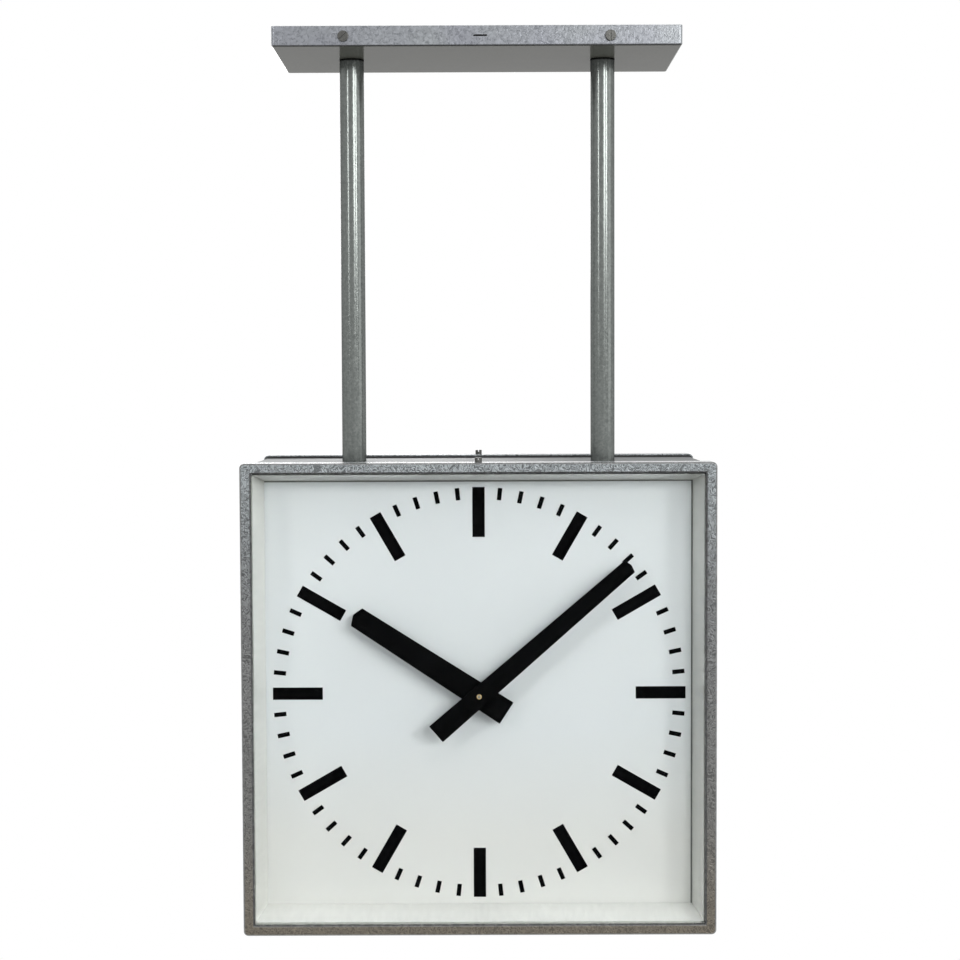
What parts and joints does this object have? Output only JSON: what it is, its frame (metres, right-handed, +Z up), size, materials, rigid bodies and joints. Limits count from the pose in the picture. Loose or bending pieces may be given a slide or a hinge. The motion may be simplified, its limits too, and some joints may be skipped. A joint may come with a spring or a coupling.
{
  "type": "double sided station clock",
  "caption": "Square station clock with a dial on each side, hung on pipes from a ceiling canopy; glazed doors, bar marks and geared hands.",
  "frame": {"origin": "centre of the ceiling plate's upper face, on the ceiling", "axes": "+Z up, +X to the right of a person facing the front dial, +Y away from that person, through the case"},
  "size_m": [0.43, 0.23, 0.832],
  "materials": {
    "zinc_steel": "zinc plated",
    "grey_enamel": "glossy grey paint",
    "hammertone": "hammered grey paint",
    "plated_screw": "nickel plated",
    "terminal_plastic": "moulded",
    "black_rubber": "matt",
    "white_enamel": "satin white paint",
    "mark_black": "printed",
    "hand_black": "satin black paint",
    "brass": "machined",
    "core_steel": "laminated",
    "coil_winding": "enamelled wire",
    "magnet": "ground",
    "clear_glass": "polished"
  },
  "bodies": {
    "case": {"ceiling_plate": "zinc_steel", "pipe_sockets": "zinc_steel", "ceiling_canopy": "grey_enamel", "canopy_screws": "plated_screw", "pipe_left": "grey_enamel", "pipe_right": "grey_enamel", "case_top": "grey_enamel", "case_bottom": "grey_enamel", "case_left": "grey_enamel", "case_right": "grey_enamel", "case_channel": "zinc_steel", "case_locknuts": "zinc_steel", "terminal_block": "terminal_plastic", "door_seals": "black_rubber", "hinge_case_leaves": "zinc_steel", "hinge_pins": "zinc_steel", "dial_screws": "plated_screw", "movement_pillars": "brass", "front_dial_carrier": "zinc_steel", "front_dial": "white_enamel", "front_dial_marks": "mark_black", "front_movement_front_plate": "brass", "front_movement_back_plate": "brass", "front_movement_stator": "core_steel", "front_movement_coil": "coil_winding", "rear_dial_carrier": "zinc_steel", "rear_dial": "white_enamel", "rear_dial_marks": "mark_black", "rear_movement_front_plate": "brass", "rear_movement_back_plate": "brass", "rear_movement_stator": "core_steel", "rear_movement_coil": "coil_winding"},
    "front_door": {"front_door_frame": "hammertone", "front_door_glass": "clear_glass", "front_door_liner": "white_enamel", "front_liner_clips": "zinc_steel", "front_door_leaves": "zinc_steel"},
    "front_lock": {"front_lock_screw": "plated_screw"},
    "front_minute": {"front_minute_hand": "hand_black", "front_minute_arbor": "brass", "front_cannon_pinion": "brass"},
    "front_hour": {"front_hour_hand": "hand_black", "front_hour_wheel": "brass"},
    "front_motion": {"front_minute_wheel": "brass"},
    "front_third": {"front_third_wheel": "brass"},
    "front_rotor": {"front_rotor": "magnet"},
    "rear_door": {"rear_door_frame": "hammertone", "rear_door_glass": "clear_glass", "rear_door_liner": "white_enamel", "rear_liner_clips": "zinc_steel", "rear_door_leaves": "zinc_steel"},
    "rear_lock": {"rear_lock_screw": "plated_screw"},
    "rear_minute": {"rear_minute_hand": "hand_black", "rear_minute_arbor": "brass", "rear_cannon_pinion": "brass"},
    "rear_hour": {"rear_hour_hand": "hand_black", "rear_hour_wheel": "brass"},
    "rear_motion": {"rear_minute_wheel": "brass"},
    "rear_third": {"rear_third_wheel": "brass"},
    "rear_rotor": {"rear_rotor": "magnet"}
  },
  "joints": [
    {"name": "front_door_hinge", "type": "hinge", "parent": "case", "child": "front_door", "pos_m": [0, -0.087, -0.8292], "axis": [1, 0, 0], "range_deg": [0, 170]},
    {"name": "front_lock_turn", "type": "hinge", "parent": "front_door", "child": "front_lock", "pos_m": [0, -0.102, -0.396], "axis": [0, 0, 1], "range_deg": [0, 360]},
    {"name": "front_minute_turn", "type": "hinge", "parent": "case", "child": "front_minute", "pos_m": [0, -0.07, -0.611], "axis": [0, 1, 0], "continuous": true},
    {"name": "front_hour_turn", "type": "hinge", "parent": "case", "child": "front_hour", "pos_m": [0, -0.07, -0.611], "axis": [0, 1, 0], "continuous": true},
    {"name": "front_motion_turn", "type": "hinge", "parent": "case", "child": "front_motion", "pos_m": [0, -0.07, -0.623], "axis": [0, 1, 0], "continuous": true},
    {"name": "front_third_turn", "type": "hinge", "parent": "case", "child": "front_third", "pos_m": [0, -0.07, -0.596], "axis": [0, 1, 0], "continuous": true},
    {"name": "front_rotor_turn", "type": "hinge", "parent": "case", "child": "front_rotor", "pos_m": [0, -0.07, -0.582], "axis": [0, 1, 0], "continuous": true},
    {"name": "rear_door_hinge", "type": "hinge", "parent": "case", "child": "rear_door", "pos_m": [0, 0.087, -0.8292], "axis": [-1, 0, 0], "range_deg": [0, 170]},
    {"name": "rear_lock_turn", "type": "hinge", "parent": "rear_door", "child": "rear_lock", "pos_m": [0, 0.102, -0.396], "axis": [0, 0, 1], "range_deg": [0, 360]},
    {"name": "rear_minute_turn", "type": "hinge", "parent": "case", "child": "rear_minute", "pos_m": [0, 0.07, -0.611], "axis": [0, -1, 0], "continuous": true},
    {"name": "rear_hour_turn", "type": "hinge", "parent": "case", "child": "rear_hour", "pos_m": [0, 0.07, -0.611], "axis": [0, -1, 0], "continuous": true},
    {"name": "rear_motion_turn", "type": "hinge", "parent": "case", "child": "rear_motion", "pos_m": [0, 0.07, -0.623], "axis": [0, -1, 0], "continuous": true},
    {"name": "rear_third_turn", "type": "hinge", "parent": "case", "child": "rear_third", "pos_m": [0, 0.07, -0.596], "axis": [0, -1, 0], "continuous": true},
    {"name": "rear_rotor_turn", "type": "hinge", "parent": "case", "child": "rear_rotor", "pos_m": [0, 0.07, -0.582], "axis": [0, -1, 0], "continuous": true}
  ],
  "couplings": [
    {"joint": "front_hour_turn", "follows": "front_minute_turn", "ratio": 0.083333},
    {"joint": "front_motion_turn", "follows": "front_minute_turn", "ratio": -0.33333},
    {"joint": "front_third_turn", "follows": "front_minute_turn", "ratio": -5},
    {"joint": "front_rotor_turn", "follows": "front_minute_turn", "ratio": 30},
    {"joint": "rear_hour_turn", "follows": "rear_minute_turn", "ratio": 0.083333},
    {"joint": "rear_motion_turn", "follows": "rear_minute_turn", "ratio": -0.33333},
    {"joint": "rear_third_turn", "follows": "rear_minute_turn", "ratio": -5},
    {"joint": "rear_rotor_turn", "follows": "rear_minute_turn", "ratio": 30}
  ]
}
